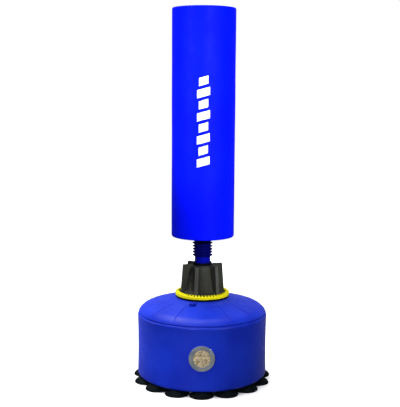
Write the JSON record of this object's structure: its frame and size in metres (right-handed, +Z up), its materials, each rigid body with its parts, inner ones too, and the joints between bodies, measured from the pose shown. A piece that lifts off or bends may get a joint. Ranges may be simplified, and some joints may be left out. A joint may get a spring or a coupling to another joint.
{
  "type": "free standing bag",
  "caption": "Tall padded boxing bag on a sprung ribbed neck, held by a finned hand nut in a round ballast tank on suction cups.",
  "frame": {"origin": "on the floor under the bag's axis", "axes": "+Z up along the bag, front of the bag and the badge towards -Y"},
  "size_m": [0.6436, 0.6407, 1.71],
  "materials": {
    "cover": "satin",
    "foam": "matte",
    "core_plastic": "matte",
    "plate_board": "matte",
    "tank_plastic": "satin",
    "ring_plastic": "satin",
    "black_plastic": "satin",
    "mast_plastic": "satin",
    "bellows_rubber": "matte",
    "black_rubber": "matte",
    "steel": "satin",
    "zinc_steel": "satin",
    "badge_metal": "satin",
    "badge_bronze": "satin",
    "nylon": "matte",
    "zip_tape": "matte",
    "zip_metal": "polished"
  },
  "bodies": {
    "base": {"base_tank": "tank_plastic", "neck_gasket": "black_rubber", "ratchet_ring": "ring_plastic", "mast_socket": "black_plastic", "collet": "black_plastic", "badge_rim": "badge_metal", "badge_disc": "badge_bronze", "suction_cup_01": "black_rubber", "suction_cup_02": "black_rubber", "suction_cup_03": "black_rubber", "suction_cup_04": "black_rubber", "suction_cup_05": "black_rubber", "suction_cup_06": "black_rubber", "suction_cup_07": "black_rubber", "suction_cup_08": "black_rubber", "suction_cup_09": "black_rubber", "suction_cup_10": "black_rubber", "suction_cup_11": "black_rubber", "suction_cup_12": "black_rubber", "suction_cup_13": "black_rubber", "suction_cup_14": "black_rubber", "suction_cup_15": "black_rubber"},
    "mast": {"mast_tube": "mast_plastic", "mast_foot": "black_plastic", "spring_seat_lower": "zinc_steel"},
    "neck": {"neck_bellows": "bellows_rubber", "neck_spring": "steel"},
    "bag": {"spring_seat_upper": "zinc_steel", "seat_bolts": "steel", "core_bottom_plate": "plate_board", "core_tube": "core_plastic", "core_top_plug": "plate_board", "plate_screws": "steel", "foam_inner": "foam", "foam_outer": "foam", "top_pad": "foam", "cover_side": "cover", "cover_top": "cover", "cover_bottom": "cover", "zipper_tape": "zip_tape", "zipper_chain": "zip_metal"},
    "slider": {"zip_slider": "zip_metal"},
    "pull": {"zip_pull": "zip_metal"},
    "nut_lifter": {"nut_washer": "nylon"},
    "nut": {"lock_nut": "black_plastic"},
    "cap_lifter": {"filler_seal": "black_rubber"},
    "cap": {"filler_cap": "tank_plastic"}
  },
  "joints": [
    {"name": "mast_swivel", "type": "hinge", "parent": "base", "child": "mast", "pos_m": [0, 0, 0.3], "axis": [0, 0, 1], "continuous": true},
    {"name": "neck_tilt_side", "type": "hinge", "parent": "mast", "child": "neck", "pos_m": [0, 0, 0.603], "axis": [0, 1, 0], "range_deg": [-22, 22], "stiffness_Nm_per_rad": 450, "deforming": ["neck_bellows", "neck_spring"]},
    {"name": "neck_tilt_back", "type": "hinge", "parent": "neck", "child": "bag", "pos_m": [0, 0, 0.652], "axis": [1, 0, 0], "range_deg": [-22, 22], "stiffness_Nm_per_rad": 450},
    {"name": "nut_lift", "type": "slide", "parent": "base", "child": "nut_lifter", "axis": [0, 0, 1], "range_m": [0, 0.024]},
    {"name": "nut_turn", "type": "hinge", "parent": "nut_lifter", "child": "nut", "pos_m": [0, 0, 0.45], "axis": [0, 0, 1], "range_deg": [0, 1440]},
    {"name": "cap_lift", "type": "slide", "parent": "base", "child": "cap_lifter", "axis": [0, 0, 1], "range_m": [0, 0.009]},
    {"name": "cap_turn", "type": "hinge", "parent": "cap_lifter", "child": "cap", "pos_m": [-0.04274, -0.1443, 0.388], "axis": [0, 0, 1], "range_deg": [0, 1080]},
    {"name": "zip_slide", "type": "slide", "parent": "bag", "child": "slider", "axis": [0, 0, -1], "range_m": [0, 0.875]},
    {"name": "pull_swing", "type": "hinge", "parent": "slider", "child": "pull", "pos_m": [0, 0.1528, 1.638], "axis": [1, 0, 0], "range_deg": [0, 150]}
  ],
  "couplings": [
    {"joint": "nut_turn", "follows": "nut_lift", "rad_per_m": 1047.2},
    {"joint": "cap_turn", "follows": "cap_lift", "rad_per_m": 2094.4}
  ]
}
